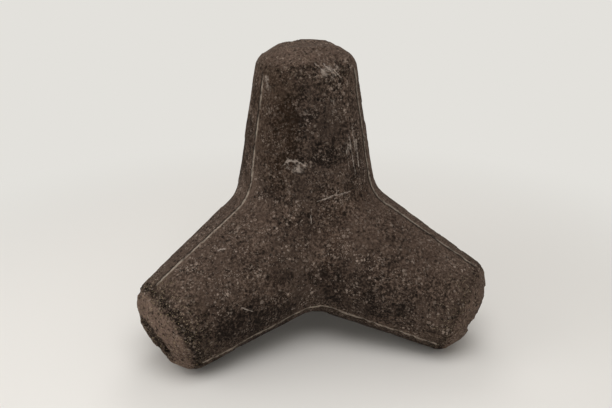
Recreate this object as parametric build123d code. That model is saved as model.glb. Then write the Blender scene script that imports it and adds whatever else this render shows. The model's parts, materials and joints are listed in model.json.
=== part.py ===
from build123d import *
import math
import os

# Concrete tetrapod, a sea wall's armour block: four tapering legs set at equal angles round one
# centre, cast in one piece. It stands on three legs, with the fourth straight up.
# The origin is the point where the four leg axes meet. +Z runs up the top leg, and one lower
# leg runs towards +Y. Sizes are in millimetres, angles in degrees.

# One leg
leg_reach = 1977  # from the centre to the leg's end face
leg_end_diameter = 927  # of the cone where it would meet the end face
leg_draft = 10  # between the leg's axis and its side
leg_overrun = 300  # how far a leg's blank runs on past the centre, inside the other three

# The bevel round a leg's end
bevel_inset = 200  # across the leg, from the cone to the flat end face
bevel_length = 145  # along the leg
shoulder_wear = 40  # flat worn along the bevel's outer edge, measured down each side of it

# The hollow curve between two neighbouring legs
crotch_radius = 360

# Fins left where the four mould shells met, one along each pair of legs
fin_width = 14
fin_height = 9
fin_root = 60  # how deep a fin's blank reaches into the block
fin_end_gap = 70  # bare stretch between a fin's end and the bevel

# One leg stands straight up, and the other three spread evenly below it
lower_leg_azimuths = (90, 210, 330)
angle_between_legs = math.degrees(math.acos(-1 / 3))


def leg_radius(distance):
    # radius of a leg's cone, at a distance from the centre along its axis
    return leg_end_diameter / 2 + (leg_reach - distance) * math.tan(math.radians(leg_draft))


def leg_directions():
    up = Vector(0, 0, 1)
    tilted = up.rotate(Axis.Y, angle_between_legs)
    return [up] + [tilted.rotate(Axis.Z, azimuth) for azimuth in lower_leg_azimuths]


def make_leg():
    # one leg along +Z, turned from its profile
    bevel_start = leg_reach - bevel_length
    shoulder_point = (leg_radius(bevel_start), bevel_start)
    profile = Polyline(
        (0, -leg_overrun),
        (0, leg_reach),
        (leg_end_diameter / 2 - bevel_inset, leg_reach),
        shoulder_point,
        (leg_radius(0), 0),
        close=True,
    )
    outline = make_face(profile)
    shoulder = outline.vertices().sort_by_distance(shoulder_point)[0]
    outline = chamfer(shoulder, shoulder_wear)
    return revolve(Plane.XZ * outline, Axis.Z)


def make_body(directions):
    # the four legs as one solid, with the six creases between them blended
    leg = make_leg()
    body = Part()
    for number, direction in enumerate(directions):
        # the start of a leg's round face points at a neighbour, where a fin will cover it
        neighbour = directions[number - 1]
        sideways = (neighbour - direction * neighbour.dot(direction)).normalized()
        body += Plane(origin=(0, 0, 0), x_dir=sideways, z_dir=direction) * leg
    crease_limit = leg_radius(0) * 1.5
    creases = [
        edge
        for edge in body.edges().filter_by(GeomType.BSPLINE)
        if edge.position_at(0.5).length < crease_limit
    ]
    return fillet(creases, crotch_radius)


def make_fin(first, second):
    # a thin bent strip that stands out of the block along two legs and the curve between them
    half_angle = angle_between_legs / 2
    draft = math.radians(leg_draft)

    def side_point(distance, offset, side):
        # a point beside a leg, offset out of its surface
        across = leg_radius(distance) + offset / math.cos(draft)
        return Vector(distance, -side * across).rotate(Axis.Z, side * half_angle)

    def corner(offset):
        # where the two legs' sides would meet, both offset
        spread = math.radians(half_angle)
        across = leg_radius(0) + offset / math.cos(draft)
        return Vector(across / (math.sin(spread) + math.cos(spread) * math.tan(draft)), 0)

    tip = leg_reach - bevel_length - fin_end_gap
    strip = Polyline(
        side_point(tip, fin_height, 1),
        corner(fin_height),
        side_point(tip, fin_height, -1),
        side_point(tip, -fin_root, -1),
        corner(-fin_root),
        side_point(tip, -fin_root, 1),
        close=True,
    )
    outline = make_face(strip)
    crotch = outline.vertices().sort_by_distance(corner(fin_height))[0]
    outline = fillet(crotch, crotch_radius - fin_height)
    middle = (first + second).normalized()
    plane = Plane(origin=(0, 0, 0), x_dir=middle, z_dir=first.cross(second).normalized())
    return extrude(plane * outline, fin_width / 2, both=True)


directions = leg_directions()
tetrapod = make_body(directions)
for number, first in enumerate(directions):
    for second in directions[number + 1 :]:
        tetrapod += make_fin(first, second)

os.makedirs("parts", exist_ok=True)
export_step(tetrapod, "parts/concrete_tetrapod.step")
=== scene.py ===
import json
import math
import bpy
import numpy as np
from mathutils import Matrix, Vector, noise


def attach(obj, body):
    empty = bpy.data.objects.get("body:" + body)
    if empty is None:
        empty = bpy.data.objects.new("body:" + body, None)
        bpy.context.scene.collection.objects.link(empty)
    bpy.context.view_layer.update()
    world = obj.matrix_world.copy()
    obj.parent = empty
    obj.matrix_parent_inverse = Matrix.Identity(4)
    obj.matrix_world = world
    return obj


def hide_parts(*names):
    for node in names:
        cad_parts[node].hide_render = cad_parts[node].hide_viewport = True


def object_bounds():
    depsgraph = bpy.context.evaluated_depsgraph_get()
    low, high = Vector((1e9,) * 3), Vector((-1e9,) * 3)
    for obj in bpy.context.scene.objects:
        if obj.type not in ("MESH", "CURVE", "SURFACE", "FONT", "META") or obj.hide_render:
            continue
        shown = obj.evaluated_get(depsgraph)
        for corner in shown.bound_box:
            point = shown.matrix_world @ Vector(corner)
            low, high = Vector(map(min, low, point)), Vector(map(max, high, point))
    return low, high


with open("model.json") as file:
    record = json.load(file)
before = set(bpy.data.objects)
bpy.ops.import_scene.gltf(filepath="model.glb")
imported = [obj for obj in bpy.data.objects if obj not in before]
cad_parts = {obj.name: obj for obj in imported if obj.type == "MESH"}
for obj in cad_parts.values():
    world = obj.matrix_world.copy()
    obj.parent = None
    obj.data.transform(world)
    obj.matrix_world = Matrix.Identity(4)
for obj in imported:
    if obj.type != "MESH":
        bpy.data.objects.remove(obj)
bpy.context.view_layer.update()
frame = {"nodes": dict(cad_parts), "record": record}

record = frame["record"]


def pick(obj):
    # edit mode and modifiers act on what is selected, so only this piece is
    bpy.ops.object.select_all(action="DESELECT")
    obj.select_set(True)
    bpy.context.view_layer.objects.active = obj


def applyModifier(obj, name, kind, **settings):
    pick(obj)
    modifier = obj.modifiers.new(name, kind)
    for key, value in settings.items():
        setattr(modifier, key, value)
    bpy.ops.object.modifier_apply(modifier=modifier.name)


def readPoints(obj):
    flat = np.empty(len(obj.data.vertices) * 3)
    obj.data.vertices.foreach_get("co", flat)
    return flat.reshape(-1, 3)


def faceCentres(obj):
    flat = np.empty(len(obj.data.polygons) * 3)
    obj.data.polygons.foreach_get("center", flat)
    return flat.reshape(-1, 3)


def countTriangles(obj):
    return sum(len(polygon.vertices) - 2 for polygon in obj.data.polygons)


def selectParts(obj, mode, wanted):
    # leaves edit mode on, with just the wanted points or faces selected
    pick(obj)
    bpy.ops.object.mode_set(mode="EDIT")
    bpy.ops.mesh.select_mode(type=mode)
    bpy.ops.mesh.select_all(action="DESELECT")
    bpy.ops.object.mode_set(mode="OBJECT")
    parts = obj.data.vertices if mode == "VERT" else obj.data.polygons
    parts.foreach_set("select", wanted)
    bpy.ops.object.mode_set(mode="EDIT")


def smoothPoints(obj, wanted, times, share=0.5):
    # each time, a point goes this share of the way to the middle of its neighbours
    selectParts(obj, "VERT", wanted)
    bpy.ops.mesh.vertices_smooth(factor=share, repeat=times)
    bpy.ops.object.mode_set(mode="OBJECT")


def writeGroup(obj, name, weights, least=0.004):
    # weights too slight to show are left out, which keeps the group short
    group = obj.vertex_groups.new(name=name)
    for index in np.nonzero(weights > least)[0]:
        group.add([int(index)], float(weights[index]), "REPLACE")


def readGroup(obj, name):
    number = obj.vertex_groups[name].index
    weights = np.zeros(len(obj.data.vertices))
    for index, vertex in enumerate(obj.data.vertices):
        for entry in vertex.groups:
            if entry.group == number:
                weights[index] = entry.weight
    return weights


def cloud(points, size, octaves=2, shift=0.0):
    # smooth noise, mostly between -0.5 and 0.5, with lumps of about this size: each further octave
    # has half the size and half the strength. A shift gives another pattern
    aside = Vector((shift, 0, 0))
    return np.array([noise.fractal(Vector(point) / size + aside, 1.0, 2.0, octaves) for point in points])


def spots(points, size, octaves, shift, low, high):
    # the same noise, cut to lone spots: nothing under low, full over high
    return np.clip((cloud(points, size, octaves, shift) - low) / (high - low), 0, 1)


def bell(distance, width):
    return np.exp(-((distance / width) ** 2))


# The block's own shape, as the CAD has it: one leg straight up, three evenly spread below.
# What differs from leg to leg is in the order up, back, left, right
block = {
    "lowerAzimuths": (90, 210, 330),
    "reach": record["mounts"][0]["pos_m"][2],
    "endRadius": 0.4635,
    "draft": 10,
    "bevelLength": 0.145,
    "bevelInset": 0.200,
    "finEndGap": 0.070,
    # rimWear also sets how dark the painted shadow behind each rim is
    "rimWear": (0.35, 0.7, 1.0, 0.6),  # how far each leg's rim has lost its skin
    # hollowEnd also sets how dark the painted shade on each end face is
    "hollowEnd": (0.25, 0.7, 1.0, 0.6),  # how far each leg's end face is broken out
    "shellTone": (0.15, 0.45, 1.0, 0.75),  # paleness of the mould face opposite each leg
}
bevelStart = block["reach"] - block["bevelLength"]
rimRadius = block["endRadius"] + block["bevelLength"] * math.tan(math.radians(block["draft"]))
faceRadius = block["endRadius"] - block["bevelInset"]
angleBetweenLegs = math.acos(-1 / 3)


def legAxes():
    axes = [(0, 0, 1)]
    flat = math.sin(angleBetweenLegs)
    for azimuth in block["lowerAzimuths"]:
        turn = math.radians(azimuth)
        axes.append((flat * math.cos(turn), flat * math.sin(turn), math.cos(angleBetweenLegs)))
    return np.array(axes)


axes = legAxes()
legPairs = [(first, second) for first in range(4) for second in range(first + 1, 4)]


def seamNormal(pair):
    normal = np.cross(axes[pair[0]], axes[pair[1]])
    return normal / np.linalg.norm(normal)


def seamPlace(points, pair):
    # distance from the plane of two legs, and whether the point is on the stretch that has the seam
    first, second = axes[pair[0]], axes[pair[1]]
    middle = (first + second) / np.linalg.norm(first + second)
    sideways = (first - second) / np.linalg.norm(first - second)
    angle = np.arctan2(np.abs(points @ sideways), points @ middle)
    reach = np.maximum(points @ first, points @ second)
    onSeam = (angle < angleBetweenLegs / 2) & (reach < bevelStart - block["finEndGap"])
    return points @ seamNormal(pair), onSeam


def ownLeg(points):
    # which leg a point belongs to, how far out along it, and how far from its axis
    reach = points @ axes.T
    own = reach.argmax(axis=1)
    along = reach[np.arange(len(points)), own]
    across = np.linalg.norm(points - along[:, None] * axes[own], axis=1)
    return own, along, across


# The casting: an even skin over the CAD block, fine enough to carve
casting = {
    "mergeWithin": 0.0002,  # the CAD's loose triangles are joined where their corners are this near
    "voxel": 0.0135,
    "stubBand": 0.032,  # the CAD fins leave bumps this far each side of a seam
    "stubSmooths": 26,
    "rimBand": 0.0575,  # the rims are softened this far each side of their edges
    "rimSmooths": 22,
    "triangles": 176000,  # kept after carving, most of them where the surface is roughest
}


def makeCasting():
    mesh = frame["nodes"]["concrete_tetrapod"].data.copy()
    mesh.name = "tetrapodCasting"
    mesh.materials.clear()
    piece = bpy.data.objects.new("tetrapodCasting", mesh)
    bpy.context.collection.objects.link(piece)
    pick(piece)
    bpy.ops.object.mode_set(mode="EDIT")
    bpy.ops.mesh.select_all(action="SELECT")
    bpy.ops.mesh.remove_doubles(threshold=casting["mergeWithin"])
    bpy.ops.object.mode_set(mode="OBJECT")
    applyModifier(piece, "evenSkin", "REMESH", mode="VOXEL", voxel_size=casting["voxel"],
                  use_smooth_shade=True)
    points = readPoints(piece)
    own, along, across = ownLeg(points)
    stubs = np.zeros(len(points), bool)
    for pair in legPairs:
        off, onSeam = seamPlace(points, pair)
        stubs |= onSeam & (np.abs(off) < casting["stubBand"])
    smoothPoints(piece, stubs, casting["stubSmooths"])
    fromOuterEdge = np.hypot(along - bevelStart, across - rimRadius)
    fromInnerEdge = np.hypot(along - block["reach"], across - faceRadius)
    rims = np.minimum(fromOuterEdge, fromInnerEdge) < casting["rimBand"]
    smoothPoints(piece, rims, casting["rimSmooths"])
    print("casting skin:", len(piece.data.vertices), "points")
    return piece


# Wear. The waves go a little both ways and the rest cuts inwards, so the block keeps its size
wear = {
    "waveLevel": 0.6,  # the share of a wave's depth that lies under the cast surface
    "waves": [
        # lumps over the whole surface: name, their size, how fine they break up, depth
        ("castUnevenness", 0.45, 1, 0.012),
        ("washedFace", 0.13, 3, 0.009),
        ("grit", 0.03, 2, 0.0035),
    ],
    "chipsPerRim": 7,
    "chipSize": (0.04, 0.13),
    "chipLeast": 0.6,  # the share of its size that a chip has on a rim with no wear
    "chipSlope": 0.5,  # the share of its size over which a chip gets deeper
    "chipBite": (0.3, 1),  # shares of the full depth
    "chipStretch": 0.6,  # at 0 a chip is round, and towards 1 it gets longer along the edge
    "chipRaggedness": (0.07, 0.45),  # its size and its strength
    # spots in noise: size, octaves, shift, noise where they begin, noise where they are full
    "pitSpots": (0.045, 2, 3.0, 0.18, 0.40),
    "pitCrowds": (0.40, 2, 7.0, 0.24, 0.49),
    "skinLoss": (0.30, 4, 11.0, 0.02, 0.07),  # where the smooth cement skin has come away
    "pitsBehindRim": (0.04, 0.07),  # how far behind the rim they are thickest, and over what width
    "pitShares": (0.06, 0.8, 0.8),  # how many of them are kept everywhere, in crowds and behind rims
    "dishEdge": (0.01, 0.07),  # how far inside its face a broken end begins, and over what width
    "dishLumps": (0.13, 3, 5.0),  # size, octaves, shift
    "dishDepth": (0.6, 0.9),  # share of the full depth, and how much the lumps change it
    "depths": {"chips": 0.036, "pits": 0.016, "scaled": 0.006, "hollowEnd": 0.075},
}


def chipWeights(points):
    # bites out of both edges of each bevel
    dice = np.random.default_rng(41)
    least, slope = wear["chipLeast"], wear["chipSlope"]
    raggedSize, raggedStrength = wear["chipRaggedness"]
    ragged = 1 + raggedStrength * cloud(points, raggedSize)
    weights = np.zeros(len(points))
    for number, axis in enumerate(axes):
        side = np.cross(axis, (0.3, 0.5, 0.8))  # any direction will do that no leg has
        side /= np.linalg.norm(side)
        other = np.cross(axis, side)
        for along, radius in ((bevelStart, rimRadius), (block["reach"], faceRadius)):
            for chip in range(wear["chipsPerRim"]):
                turn = dice.uniform(0, 2 * math.pi)
                outward = math.cos(turn) * side + math.sin(turn) * other
                size = dice.uniform(*wear["chipSize"]) * (least + (1 - least) * block["rimWear"][number])
                offset = points - (axis * along + outward * radius)
                edgeways = offset @ np.cross(axis, outward)
                squared = (offset ** 2).sum(axis=1) - wear["chipStretch"] * edgeways ** 2
                distance = np.sqrt(squared) * ragged
                bite = np.clip((size - distance) / (slope * size), 0, 1) * dice.uniform(*wear["chipBite"])
                weights = np.maximum(weights, bite)
    return weights


def pitWeights(points, own, along):
    # small holes crowded into patches, and thickest just behind a worn rim
    behind, width = wear["pitsBehindRim"]
    behindRim = bell(along - (bevelStart - behind), width) * np.array(block["rimWear"])[own]
    crowded = spots(points, *wear["pitCrowds"])
    everywhere, inCrowds, behindRims = wear["pitShares"]
    kept = np.clip(everywhere + inCrowds * crowded + behindRims * behindRim, 0, 1)
    return spots(points, *wear["pitSpots"]) * kept


def dishWeights(points, own, along, across):
    # the middle of each end face, lumpy where the concrete broke out
    inset, slope = wear["dishEdge"]
    dish = np.clip((faceRadius - inset - across) / slope, 0, 1) * (along > bevelStart)
    depth, lumpiness = wear["dishDepth"]
    lumps = np.clip(depth + lumpiness * cloud(points, *wear["dishLumps"]), 0, 1)
    return dish * lumps * np.array(block["hollowEnd"])[own]


def carve(piece):
    points = readPoints(piece)
    own, along, across = ownLeg(points)
    for name, size, detail, depth in wear["waves"]:
        texture = bpy.data.textures.new(name, "CLOUDS")
        texture.noise_scale = size
        texture.noise_depth = detail
        texture.noise_basis = "ORIGINAL_PERLIN"
        applyModifier(piece, name, "DISPLACE", texture=texture, texture_coords="LOCAL", strength=depth,
                      mid_level=wear["waveLevel"])
    writeGroup(piece, "chips", chipWeights(points))
    writeGroup(piece, "pits", pitWeights(points, own, along))
    writeGroup(piece, "scaled", spots(points, *wear["skinLoss"]))
    writeGroup(piece, "hollowEnd", dishWeights(points, own, along, across))
    for group, depth in wear["depths"].items():
        applyModifier(piece, group, "DISPLACE", strength=-depth, mid_level=0.0, vertex_group=group)
    applyModifier(piece, "thinOut", "DECIMATE", ratio=casting["triangles"] / countTriangles(piece))
    print("carved:", countTriangles(piece), "triangles")


# The fins that the mould shells left, cut into the skin as close lines and then raised
fin = {
    "width": 0.018,
    "height": 0.013,
    "cutBand": 3,  # the skin is cut this many voxels each side of a seam
    "cutWithin": 0.0004,  # points this near a cut are taken onto it
    "crestWithin": 0.001,  # points this near a seam's plane are on the crest
    # the height left is a level plus a strength times the noise
    "gaps": (0.3, 2, 2.0),  # the noise that takes the fin down over long stretches
    "gapLeft": (1, 2.2),
    "nicks": (0.045, 3),  # and the noise that nicks it
    "nickLeft": (0.75, 1.5),
    "leastLeft": 0.1,  # in a nick
    "near": 0.15,  # the material knows the distance to a seam up to here
}


def raiseFins(piece):
    for pair in legPairs:
        normal = seamNormal(pair)
        off, onSeam = seamPlace(faceCentres(piece), pair)
        selectParts(piece, "FACE", onSeam & (np.abs(off) < fin["cutBand"] * casting["voxel"]))
        bpy.ops.mesh.hide(unselected=True)
        for shift in (-fin["width"] / 2, 0, fin["width"] / 2):
            bpy.ops.mesh.select_all(action="SELECT")
            bpy.ops.mesh.bisect(plane_co=tuple(normal * shift), plane_no=tuple(normal),
                                threshold=fin["cutWithin"])
        bpy.ops.mesh.reveal()
        bpy.ops.object.mode_set(mode="OBJECT")
    points = readPoints(piece)
    crest = np.zeros(len(points))
    for pair in legPairs:
        off, onSeam = seamPlace(points, pair)
        crest[onSeam & (np.abs(off) < fin["crestWithin"])] = 1
    onCrest = np.nonzero(crest)[0]
    (level, strength), (nickLevel, nickStrength) = fin["gapLeft"], fin["nickLeft"]
    left = level + strength * cloud(points[onCrest], *fin["gaps"])
    nicked = nickLevel + nickStrength * cloud(points[onCrest], *fin["nicks"])
    crest[onCrest] = np.clip(left, 0, 1) * np.clip(nicked, fin["leastLeft"], 1)
    writeGroup(piece, "fin", crest)
    applyModifier(piece, "raisedFin", "DISPLACE", strength=fin["height"], mid_level=0.0,
                  vertex_group="fin")
    print("fins raised:", countTriangles(piece), "triangles")


def markSurface(piece):
    # what the material wants to know about each place on the block
    points = readPoints(piece)
    own, along, across = ownLeg(points)
    marks = {group: readGroup(piece, group) for group in ("chips", "pits", "scaled")}
    piece.vertex_groups.clear()
    marks["along"] = along
    marks["across"] = across
    for name in ("rimWear", "hollowEnd"):
        marks[name] = np.array(block[name])[own]
    marks["shellTone"] = np.array(block["shellTone"])[(points @ axes.T).argmin(axis=1)]
    marks["seamDistance"] = np.full(len(points), fin["near"])
    # one side of each seam gets a painted shadow beside its fin
    marks["finShadowSide"] = np.zeros(len(points))
    for pair in legPairs:
        off, onSeam = seamPlace(points, pair)
        nearer = onSeam & (np.abs(off) < marks["seamDistance"])
        marks["seamDistance"][nearer] = np.abs(off)[nearer]
        marks["finShadowSide"][nearer] = (off < 0)[nearer]
    for name, values in marks.items():
        attribute = piece.data.attributes.new(name, "FLOAT", "POINT")
        attribute.data.foreach_set("value", values.astype(np.float32))
    return list(marks)


def linear(hexColour):
    # sRGB hex to the linear colour that shaders take
    channels = [int(hexColour[i : i + 2], 16) / 255 for i in (1, 3, 5)]
    return tuple(c / 12.92 if c <= 0.04045 else ((c + 0.055) / 1.055) ** 2.4 for c in channels) + (1,)


def addNode(tree, kind, inputs=None, **settings):
    # settings are the node's own; an input is a value, or the output of another node
    node = tree.nodes.new("ShaderNode" + kind)
    for key, value in settings.items():
        setattr(node, key, value)
    for key, value in (inputs or {}).items():
        if isinstance(value, bpy.types.NodeSocket):
            tree.links.new(value, node.inputs[key])
        else:
            node.inputs[key].default_value = value
    return node


def patches(tree, place, size, low, high, detail=5, roughness=0.62):
    # cloudy patches of this size: nothing where the noise is at low, full where it is at high
    look = {"Vector": place, "Scale": 1 / size, "Detail": detail, "Roughness": roughness}
    field = addNode(tree, "TexNoise", look)
    limits = {"Value": field.outputs["Fac"], "From Min": low, "From Max": high}
    return addNode(tree, "MapRange", limits).outputs[0]


def grains(tree, place, spacing, share, radius):
    # one ragged grain in some of the cells of a loose grid, no two of a size
    cells = addNode(tree, "TexVoronoi", {"Vector": place, "Scale": 1 / spacing})
    chance = addNode(tree, "SeparateColor", {"Color": cells.outputs["Color"]}).outputs["Red"]
    sized = {"Value": chance, "From Min": 1 - share, "From Max": 1.0, "To Max": radius}
    size = addNode(tree, "MapRange", sized).outputs[0]
    inside = addNode(tree, "Math", {0: size, 1: cells.outputs["Distance"]}, operation="SUBTRACT")
    edge = {"Value": inside.outputs[0], "From Min": 0.0, "From Max": concrete["grainEdge"]}
    return addNode(tree, "MapRange", edge).outputs[0]


# Colours as the photograph shows them, sizes in metres. Sand and shingle are 1 to 30 mm in the real
# block. The grains drawn are up to 15, 30 and 45 mm across and the finest mottling about 24 mm,
# coarser than the real ones, because finer ones don't show in the render
concrete = {
    "body": "#2f251e",
    # dark stain, also laid as painted shade underneath and lower down
    "darkStainAndShade": "#1a130f",
    "greyed": "#302824",
    "brownFilm": "#4c392d",
    # worn tone, also laid as painted top light where the block faces up
    "wornAndLitTone": "#52433a",
    "bleached": "#6a594e",
    "sand": "#857265",
    "paleGrain": "#aa998c",
    "creamGrain": "#a89674",
    # dark grains, also laid as painted shade on end faces, behind rims and beside fins
    "darkGrainAndShade": "#140f0a",
    "pore": "#120d0a",
    "rimPink": "#7e695d",
    "freshChip": "#7b6d60",
    "finCrest": "#b3a596",
    "scrape": "#b4a79c",
    "dampBrown": "#2a1c10",
    "roughness": 0.95,
    "specular": 0.1,
    "streakSize": (0.045, 0.045, 0.55),
    "grainEdge": 0.1,  # how soft a grain's outline is, as a share of the spacing
    "ringAt": 1.02,  # where a mould's leg plates were welded to its middle
    "bump": (0.9, 0.013),  # strength, and height of the relief
}

# Noise that makes outlines ragged: size, detail, roughness, and how far it moves them
jitter = (0.020, 4, 0.7, 0.036)
wander = {
    # measure: the attribute that is moved, and the noise
    "raggedAlong": ("along", (0.09, 6, 0.7, 0.16)),
    "raggedAcross": ("across", (0.09, 6, 0.7, 0.10)),
    "raggedSkin": ("scaled", (0.04, 4, 0.5, 1.2)),
}
# Cloudy masks: size, noise where there is nothing, noise where it is full, detail, roughness
mottling = {
    "stain": (0.55, 0.60, 0.38),
    "film": (0.8, 0.44, 0.58, 3),
    "greying": (0.35, 0.42, 0.62),
    "mottleDark": (0.216, 0.52, 0.30, 6, 0.66),
    "mottlePale": (0.12, 0.48, 0.74, 6, 0.7),
    "clotDark": (0.0552, 0.46, 0.28, 4, 0.7),
    "clotPale": (0.0624, 0.54, 0.74, 4, 0.7),
    "fineDark": (0.024, 0.52, 0.26, 3, 0.7),
    "finePale": (0.024, 0.50, 0.76, 3, 0.7),
    "lively": (0.5, 0.38, 0.58, 4),
    "grainPatches": (0.15, 0.42, 0.64),
    "finLeft": (0.16, 0.34, 0.54, 4),
}
# The same in upright streaks, as shares of streakSize
streaking = {
    "streaks": (1.0, 0.55, 0.72, 4, 0.6),
    "drips": (0.6, 0.58, 0.74, 4, 0.6),
    "finRubs": (0.35, 0.52, 0.62, 4),
}
# Loose grains: spacing, share of places that have one, radius as a share of the spacing
graining = {
    "largeGrains": (0.0456, 0.2, 0.5),
    "paleGrains": (0.024, 0.4, 0.62),
    "smallGrains": (0.012, 0.45, 0.62),
    "darkGrains": (0.030, 0.5, 0.6),
    "pores": (0.055, 0.22, 0.34),
}
# Masks by a measure of the place: the measure, its value with nothing of it, its value in full
places = {
    # facing up, for painted top light
    "skywardLight": ("normalZ", 0.2, 0.8),
    # facing down, for painted shade
    "undersideShade": ("normalZ", 0.0, -0.75),
    # lower down, for painted shade
    "low": ("level", 0.1, -0.9),
    "front": ("depth", 0.0, -0.1),
    "skinKept": ("raggedSkin", 1.25, 0.95),
    # just short of each bevel, for a painted shadow
    "rimShadow": ("raggedAlong", bevelStart - 0.05, bevelStart + 0.01),
    "bevel": ("raggedAlong", bevelStart + 0.055, bevelStart + 0.095),
    "behindRim": ("raggedAlong", bevelStart - 0.28, bevelStart - 0.02),
    # inside each end face's rim, for painted shade
    "endFaceShade": ("raggedAcross", faceRadius + 0.06, faceRadius + 0.01),
    "ring": ("fromRing", 0.012, 0.003),
    "crest": ("seamDistance", 0.016, 0.006),
    # one fin's width off a seam, for the fin's painted shadow
    "finShadow": ("seamDistance", 0.045, 0.018),
    "nearFin": ("seamDistance", 0.12, 0.02),
    "rubbedEdge": ("seamDistance", fin["near"], 0.03),
    "grime": ("grimed", 0.0, 0.5),
    "damp": ("browned", 0.0, 0.45),
    "scraped": ("standing", 0.68, 0.84),
}

# Marks on the face between the upright leg and the two front ones, placed by their x and z
scrapes = [
    # from, to, half width at each end
    ((0.03, 0.605), (0.20, 0.645), 0.012, 0.021),
    ((0.20, 0.645), (0.37, 0.650), 0.021, 0.010),
    ((0.225, 0.640), (0.22, 0.70), 0.014, 0.007),
    ((-0.035, 0.40), (-0.03, 0.54), 0.015, 0.009),
    ((-0.30, 0.915), (-0.24, 0.985), 0.018, 0.028),
    ((-0.24, 0.985), (-0.15, 0.985), 0.028, 0.026),
    ((-0.15, 0.985), (-0.08, 0.945), 0.026, 0.012),
    ((0.40, 1.26), (0.44, 1.02), 0.009, 0.018),
    ((0.36, 1.20), (0.41, 0.93), 0.008, 0.015),
    ((0.445, 1.12), (0.475, 0.86), 0.018, 0.010),
    ((0.40, 0.98), (0.43, 0.80), 0.012, 0.018),
    ((0.33, 1.06), (0.36, 0.90), 0.008, 0.012),
    ((0.04, 1.87), (0.13, 1.79), 0.014, 0.018),
    ((0.12, 1.86), (0.24, 1.75), 0.010, 0.016),
    ((0.18, 1.84), (0.30, 1.72), 0.008, 0.013),
    ((-0.74, -0.27), (-0.64, -0.33), 0.013, 0.008),
    ((-0.94, 0.20), (-0.86, 0.215), 0.013, 0.007),
]
scrapeStrength = 0.8
# Cloudy ovals on the same face, where it is rubbed pale, black with grime or brown with damp
clouds = [
    # what it is, middle, half size, strength
    ("rubbed", (-0.17, 0.93), (0.25, 0.12), 0.6),
    ("rubbed", (-0.08, 1.42), (0.26, 0.13), 0.5),
    ("rubbed", (0.15, 1.80), (0.22, 0.12), 0.65),
    ("rubbed", (0.20, 1.48), (0.11, 0.16), 0.45),
    ("rubbed", (0.38, 1.04), (0.13, 0.28), 0.5),
    ("rubbed", (-0.40, 1.66), (0.07, 0.17), 0.6),
    ("browned", (-0.34, 1.32), (0.27, 0.75), 1.0),
    ("grimed", (-0.04, 1.22), (0.42, 0.72), 1.0),
    ("grimed", (-0.70, -0.50), (0.62, 0.33), 0.9),
    ("grimed", (-1.15, -0.62), (0.24, 0.30), 0.8),
    ("grimed", (0.55, -0.42), (0.50, 0.22), 0.7),
]
rubGrit = (0.07, 6, 0.8, 0.45)  # size, detail and roughness of the grit, and what a mark adds to it

# Coats of colour from the first laid to the last: colour, strength, and the masks that it keeps to
coats = [
    ("brownFilm", 0.6, "film"),
    ("greyed", 0.5, "greying"),
    ("darkStainAndShade", 0.75, "stain"),
    ("wornAndLitTone", 0.65, "mottlePale"),
    ("darkStainAndShade", 0.6, "mottleDark"),
    ("wornAndLitTone", 0.35, "shellTone"),
    ("bleached", 0.55, "rubbedEdge"),
    ("darkStainAndShade", 0.8, "grime", "front"),
    ("dampBrown", 0.65, "damp", "front"),
    ("bleached", 0.75, "shellTone", "skinKept"),
    # paler where it faces up: painted top light
    ("wornAndLitTone", 0.75, "skywardLight"),
    # darker where it faces down: painted shade
    ("darkStainAndShade", 0.5, "undersideShade"),
    # darker towards the bottom: painted shade
    ("darkStainAndShade", 0.4, "low", "greying"),
    # dark band where each leg's side meets its bevel: painted shadow
    ("darkGrainAndShade", 0.75, "rimShadow", "rimWear", "rimWear"),
    ("rimPink", 0.9, "bevel", "rimWear"),
    ("freshChip", 0.4, "chips", "mottlePale"),
    # dark end faces: painted shade, deepest on the most broken ends
    ("darkGrainAndShade", 0.85, "endFaceShade", "bevel", "hollowEnd"),
    ("darkStainAndShade", 0.45, "streaks"),
    ("bleached", 0.4, "drips"),
    ("finCrest", 0.9, "crest", "finLeft"),
    ("darkGrainAndShade", 0.6, "clotDark"),
    ("bleached", 0.6, "clotPale"),
    ("darkGrainAndShade", 0.9, "fineDark", "lively"),
    ("darkGrainAndShade", 0.4, "fineDark"),
    ("sand", 0.85, "finePale", "lively"),
    ("sand", 0.35, "finePale"),
    ("darkGrainAndShade", 0.75, "darkGrains"),
    ("paleGrain", 0.8, "largeGrains", "grainPatches"),
    ("paleGrain", 0.8, "paleGrains", "grainPatches"),
    ("paleGrain", 0.8, "smallGrains", "grainPatches"),
    ("pore", 0.8, "pores"),
    ("pore", 0.5, "pits"),
    ("creamGrain", 0.5, "behindRim", "smallGrains", "rimWear"),
    ("darkStainAndShade", 0.3, "grime", "front"),
    ("dampBrown", 0.35, "damp", "front"),
    # a little paler again where it faces up: painted top light
    ("wornAndLitTone", 0.3, "skywardLight", "film"),
    ("darkStainAndShade", 0.5, "ring", "greying"),
    ("bleached", 0.7, "nearFin", "finRubs"),
    # dark line along one side of each fin: painted shadow of the fin
    ("darkGrainAndShade", 0.85, "finShadow", "finShadowSide"),
    ("finCrest", 0.5, "crest", "finLeft"),
    ("scrape", 0.7, "scraped", "front"),
]
# Relief too fine for the mesh: what stands up, and what is sunk
relief = [
    ("finePale", 0.5),
    ("fineDark", -0.5),
    ("paleGrains", 0.35),
    ("smallGrains", 0.25),
    ("darkGrains", -0.3),
    ("pores", -0.9),
    ("ring", 0.3),
]


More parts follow.
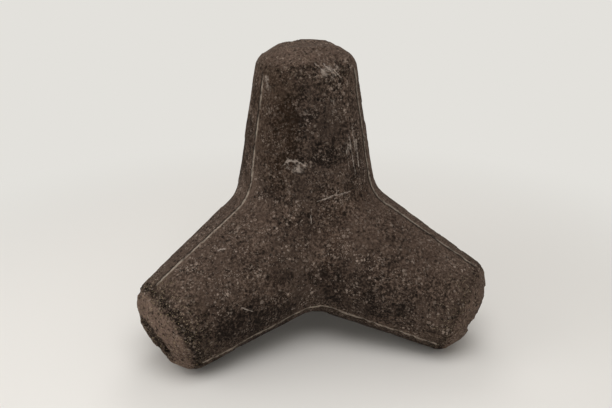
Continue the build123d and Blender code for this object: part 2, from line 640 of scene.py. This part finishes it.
def measurePlace(tree, place, attributes):
    # each measure that a mask may follow, from the mesh's attributes and the place itself
    measures = {name: addNode(tree, "Attribute", attribute_name=name).outputs["Fac"] for name in attributes}
    normal = addNode(tree, "NewGeometry").outputs["Normal"]
    measures["normalZ"] = addNode(tree, "SeparateXYZ", {0: normal}).outputs["Z"]
    position = addNode(tree, "SeparateXYZ", {0: place})
    measures["depth"] = position.outputs["Y"]
    measures["level"] = position.outputs["Z"]
    for name, (moved, (size, detail, roughness, reach)) in wander.items():
        look = {"Vector": place, "Scale": 1 / size, "Detail": detail, "Roughness": roughness}
        field = addNode(tree, "TexNoise", look).outputs["Fac"]
        shifted = addNode(tree, "Math", {0: field, 1: reach, 2: measures[moved]}, operation="MULTIPLY_ADD")
        measures[name] = shifted.outputs[0]
    offset = addNode(tree, "Math", {0: measures["along"], 1: concrete["ringAt"]}, operation="SUBTRACT")
    measures["fromRing"] = addNode(tree, "Math", {0: offset.outputs[0]}, operation="ABSOLUTE").outputs[0]
    return measures


def markFace(tree, place, raggedPlace):
    # the face's own marks, measured without depth: how grimed and how brown it is, and what stands
    # up to be rubbed
    flattened = {0: raggedPlace, 1: (1, 0, 1)}
    flatPlace = addNode(tree, "VectorMath", flattened, operation="MULTIPLY").outputs[0]
    marks = {"rubbed": [], "grimed": [], "browned": []}
    for start, end, *halfWidths in scrapes:
        run = Vector((end[0] - start[0], 0, end[1] - start[1]))
        first = (start[0], 0, start[1])
        offset = addNode(tree, "VectorMath", {0: flatPlace, 1: first}, operation="SUBTRACT").outputs[0]
        ahead = {0: offset, 1: run / run.length_squared}
        share = addNode(tree, "VectorMath", ahead, operation="DOT_PRODUCT").outputs["Value"]
        kept = addNode(tree, "Clamp", {"Value": share}).outputs[0]
        nearest = addNode(tree, "VectorMath", {0: run, "Scale": kept}, operation="SCALE").outputs[0]
        distance = addNode(tree, "VectorMath", {0: offset, 1: nearest}, operation="DISTANCE").outputs["Value"]
        taper = addNode(tree, "MapRange", {"Value": kept, "To Min": halfWidths[0], "To Max": halfWidths[1]})
        line = {"Value": distance, "From Min": taper.outputs[0], "From Max": 0.0, "To Max": scrapeStrength}
        marks["rubbed"].append(addNode(tree, "MapRange", line).outputs[0])
    for kind, middle, halfSize, strength in clouds:
        centre, reach = (middle[0], 0, middle[1]), (halfSize[0], 1, halfSize[1])
        offset = addNode(tree, "VectorMath", {0: flatPlace, 1: centre}, operation="SUBTRACT").outputs[0]
        shares = addNode(tree, "VectorMath", {0: offset, 1: reach}, operation="DIVIDE").outputs[0]
        distance = addNode(tree, "VectorMath", {0: shares}, operation="LENGTH").outputs["Value"]
        oval = {"Value": distance, "From Min": 1.0, "From Max": 0.0, "To Max": strength}
        marks[kind].append(addNode(tree, "MapRange", oval).outputs[0])
    for kind, (strongest, *others) in marks.items():
        for other in others:
            strongest = addNode(tree, "Math", {0: strongest, 1: other}, operation="MAXIMUM").outputs[0]
        marks[kind] = strongest
    size, detail, roughness, lift = rubGrit
    look = {"Vector": place, "Scale": 1 / size, "Detail": detail, "Roughness": roughness}
    grit = addNode(tree, "TexNoise", look).outputs["Fac"]
    standing = addNode(tree, "Math", {0: marks["rubbed"], 1: lift, 2: grit}, operation="MULTIPLY_ADD")
    marks["standing"] = standing.outputs[0]
    return marks


def weatheredCastConcrete(attributes):
    # Cast concrete after years of spray: the smooth cement skin is nearly gone, so it is peppered
    # with pale and dark grains. Algae and grime make it a dull dark brown, blackest in streaks, and it
    # is rubbed paler along every edge. Painted shade makes it darker underneath and lower down, and
    # painted top light makes it paler where it faces the sky
    material = bpy.data.materials.new("weatheredCastConcrete")
    material.use_nodes = True
    tree = material.node_tree
    shader = tree.nodes["Principled BSDF"]
    shader.inputs["Roughness"].default_value = concrete["roughness"]
    shader.inputs["Specular IOR Level"].default_value = concrete["specular"]

    place = addNode(tree, "TexCoord").outputs["Object"]
    size, detail, roughness, reach = jitter
    look = {"Vector": place, "Scale": 1 / size, "Detail": detail, "Roughness": roughness}
    moves = addNode(tree, "TexNoise", look).outputs["Color"]
    moved = {0: moves, 1: (reach,) * 3, 2: place}
    ragged = addNode(tree, "VectorMath", moved, operation="MULTIPLY_ADD").outputs[0]
    stretched = {0: place, 1: concrete["streakSize"]}
    streaked = addNode(tree, "VectorMath", stretched, operation="DIVIDE").outputs[0]

    masks = measurePlace(tree, place, attributes)
    masks.update(markFace(tree, place, ragged))
    for name, (measure, nothingAt, fullAt) in places.items():
        limits = {"Value": masks[measure], "From Min": nothingAt, "From Max": fullAt}
        masks[name] = addNode(tree, "MapRange", limits).outputs[0]
    for name, settings in mottling.items():
        masks[name] = patches(tree, place, *settings)
    for name, settings in streaking.items():
        masks[name] = patches(tree, streaked, *settings)
    for name, settings in graining.items():
        masks[name] = grains(tree, ragged, *settings)

    colour = linear(concrete["body"])
    for paint, strength, *names in coats:
        share = strength
        for name in names:
            share = addNode(tree, "Math", {0: masks[name], 1: share}, operation="MULTIPLY").outputs[0]
        coat = addNode(tree, "Mix", {0: share, 6: colour, 7: linear(concrete[paint])}, data_type="RGBA")
        colour = coat.outputs[2]
    tree.links.new(colour, shader.inputs["Base Color"])

    height = 0.0
    for name, amount in relief:
        added = addNode(tree, "Math", {0: masks[name], 1: amount, 2: height}, operation="MULTIPLY_ADD")
        height = added.outputs[0]
    strength, rise = concrete["bump"]
    bump = addNode(tree, "Bump", {"Height": height, "Strength": strength, "Distance": rise})
    tree.links.new(bump.outputs["Normal"], shader.inputs["Normal"])
    return material


piece = makeCasting()
carve(piece)
raiseFins(piece)
attributes = markSurface(piece)
pick(piece)
bpy.ops.object.shade_smooth()
piece.data.materials.append(weatheredCastConcrete(attributes))
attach(piece, "root")
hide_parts("concrete_tetrapod")
print("block done")

# The stage: a pale floor that turns to one even tone away from the block, and soft lamps
stage = {
    "floorSize": 400,
    "floor": "#ebe8e4",
    "floorRoughness": 0.9,
    "backdrop": "#e3e1dc",
    "fadeFrom": 2.6,
    "fadeTo": 7.0,
    "skyStrength": 0.6,
    "lamps": [
        {"name": "keySoftbox", "azimuth": 268, "elevation": 60, "distance": 10, "size": 6, "watts": 440},
        {"name": "fillSoftbox", "azimuth": 192, "elevation": 30, "distance": 11, "size": 7, "watts": 260},
        {"name": "backSoftbox", "azimuth": 80, "elevation": 55, "distance": 11, "size": 6, "watts": 200},
    ],
}
view = {"azimuth": 262, "elevation": 22, "distance": 7.25, "lens": 40, "aim": (0, 0, 0.28)}


def seenDirectly(tree):
    # 1 for what the camera sees, also in a reflection or through glass, and 0 for light on its way
    rays = addNode(tree, "LightPath")
    seen = rays.outputs["Is Camera Ray"]
    for kind in ("Is Glossy Ray", "Is Transmission Ray"):
        seen = addNode(tree, "Math", {0: seen, 1: rays.outputs[kind]}, operation="MAXIMUM").outputs[0]
    return seen


def makeFloor():
    bpy.ops.object.select_all(action="DESELECT")
    bpy.ops.mesh.primitive_plane_add(size=stage["floorSize"], location=(0, 0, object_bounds()[0][2]))
    floor = bpy.context.object
    floor.name = "studioFloor"
    # matt studio paint: plain near the block, where it takes the shadow, and its own even tone
    # further off
    paint = bpy.data.materials.new("mattStudioPaint")
    paint.use_nodes = True
    tree = paint.node_tree
    matt = tree.nodes["Principled BSDF"]
    matt.inputs["Base Color"].default_value = linear(stage["floor"])
    matt.inputs["Roughness"].default_value = stage["floorRoughness"]
    even = addNode(tree, "Emission", {"Color": linear(stage["backdrop"]), "Strength": 1.0})
    position = addNode(tree, "NewGeometry").outputs["Position"]
    distance = addNode(tree, "VectorMath", {0: position}, operation="LENGTH").outputs["Value"]
    limits = {"Value": distance, "From Min": stage["fadeFrom"], "From Max": stage["fadeTo"]}
    away = addNode(tree, "MapRange", limits, interpolation_type="SMOOTHSTEP").outputs[0]
    share = addNode(tree, "Math", {0: seenDirectly(tree), 1: away}, operation="MULTIPLY").outputs[0]
    blend = addNode(tree, "MixShader", {0: share, 1: matt.outputs[0], 2: even.outputs[0]})
    tree.links.new(blend.outputs[0], tree.nodes["Material Output"].inputs["Surface"])
    floor.data.materials.append(paint)
    print("floor laid")


def placeFrom(azimuth, elevation, distance, aim):
    turn, lift = math.radians(azimuth), math.radians(elevation)
    away = Vector((math.cos(turn) * math.cos(lift), math.sin(turn) * math.cos(lift), math.sin(lift)))
    return Vector(aim) + away * distance, away.to_track_quat("Z", "Y").to_euler()


def setUpStudio():
    camera = bpy.data.objects.new("camera", bpy.data.cameras.new("camera"))
    bpy.context.collection.objects.link(camera)
    where = placeFrom(view["azimuth"], view["elevation"], view["distance"], view["aim"])
    camera.location, camera.rotation_euler = where
    camera.data.lens = view["lens"]
    bpy.context.scene.camera = camera
    for lamp in stage["lamps"]:
        light = bpy.data.lights.new(lamp["name"], "AREA")
        light.size = lamp["size"]
        light.energy = lamp["watts"]
        holder = bpy.data.objects.new(lamp["name"], light)
        bpy.context.collection.objects.link(holder)
        where = placeFrom(lamp["azimuth"], lamp["elevation"], lamp["distance"], (0, 0, 0))
        holder.location, holder.rotation_euler = where
    world = bpy.data.worlds.new("studio")
    bpy.context.scene.world = world
    world.use_nodes = True
    tree = world.node_tree
    sky = tree.nodes["Background"]
    sky.inputs["Color"].default_value = linear(stage["backdrop"])
    sky.inputs["Strength"].default_value = stage["skyStrength"]
    even = addNode(tree, "Background", {"Color": linear(stage["backdrop"]), "Strength": 1.0})
    blend = addNode(tree, "MixShader", {0: seenDirectly(tree), 1: sky.outputs[0], 2: even.outputs[0]})
    tree.links.new(blend.outputs[0], tree.nodes["World Output"].inputs["Surface"])
    bpy.context.scene.view_settings.view_transform = "Standard"
    print("studio set up")


makeFloor()
setUpStudio()
